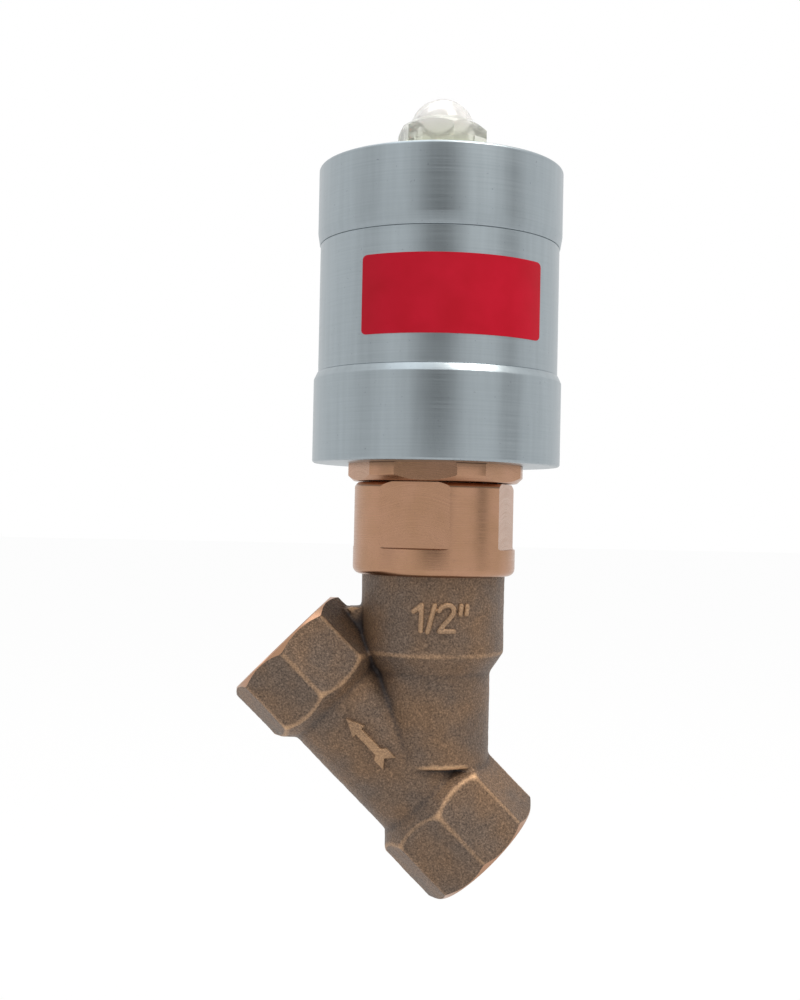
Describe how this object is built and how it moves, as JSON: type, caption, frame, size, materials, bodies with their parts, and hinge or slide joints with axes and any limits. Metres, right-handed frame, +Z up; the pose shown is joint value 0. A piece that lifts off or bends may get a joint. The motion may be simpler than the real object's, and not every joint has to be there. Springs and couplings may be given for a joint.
{
  "type": "angle seat valve",
  "caption": "Angle seat valve: a cast bronze body with threaded ends, and a spring-return piston actuator with a sight dome.",
  "frame": {"origin": "centre of the inlet port's face", "axes": "+Z up the stem towards the actuator; the pipe run lies in the XZ plane at 45 degrees, with the inlet towards +X and -Z and the outlet towards -X and +Z; the pilot port faces +Y"},
  "size_m": [0.0655, 0.051, 0.1644],
  "materials": {
    "cast_bronze": "sand-cast, browned, with rubbed edges",
    "machined_bronze": "turned, satin",
    "anodised_aluminium": "finely turned, anodised",
    "clear_dome": "clear polycarbonate",
    "red_label": "printed film",
    "indicator_plastic": "moulded",
    "stainless_steel": "turned",
    "disc_brass": "turned",
    "piston_aluminium": "turned",
    "white_ptfe": "moulded, waxy",
    "packing_steel": "stamped",
    "spring_steel": "drawn wire",
    "black_rubber": "moulded",
    "sintered_bronze": "sintered"
  },
  "bodies": {
    "valve_base": {"valve_body": "cast_bronze", "bonnet": "machined_bronze", "bonnet_gasket": "white_ptfe", "stem_wiper": "white_ptfe", "packing_washers": "packing_steel", "stem_packing_rings": "white_ptfe", "packing_spring": "spring_steel", "gland_nut": "disc_brass", "lock_nut": "machined_bronze"},
    "actuator": {"bottom_cap": "anodised_aluminium", "cylinder_tube": "anodised_aluminium", "top_cap": "anodised_aluminium", "sight_dome": "clear_dome", "dome_o_ring": "black_rubber", "vent_filter": "sintered_bronze", "bottom_cap_o_ring": "black_rubber", "top_cap_o_ring": "black_rubber", "stem_o_ring": "black_rubber", "label_plate": "red_label", "outer_return_spring": "spring_steel", "inner_return_spring": "spring_steel"},
    "stem_group": {"stem": "stainless_steel", "valve_disc": "disc_brass", "seat_seal": "white_ptfe", "seal_washer": "stainless_steel", "disc_nut": "stainless_steel", "piston": "piston_aluminium", "piston_seal": "black_rubber", "piston_guide_ring": "white_ptfe", "piston_washer": "stainless_steel", "piston_nut": "stainless_steel", "position_indicator": "indicator_plastic"}
  },
  "joints": [
    {"name": "actuator_swivel", "type": "hinge", "parent": "valve_base", "child": "actuator", "pos_m": [-0.01153, 0, 0.07923], "axis": [0, 0, 1], "continuous": true},
    {"name": "stem_lift", "type": "slide", "parent": "actuator", "child": "stem_group", "axis": [0, 0, 1], "range_m": [0, 0.008], "stiffness_N_per_m": 8000, "springref_m": -0.005, "deforming": ["outer_return_spring", "inner_return_spring"]}
  ]
}
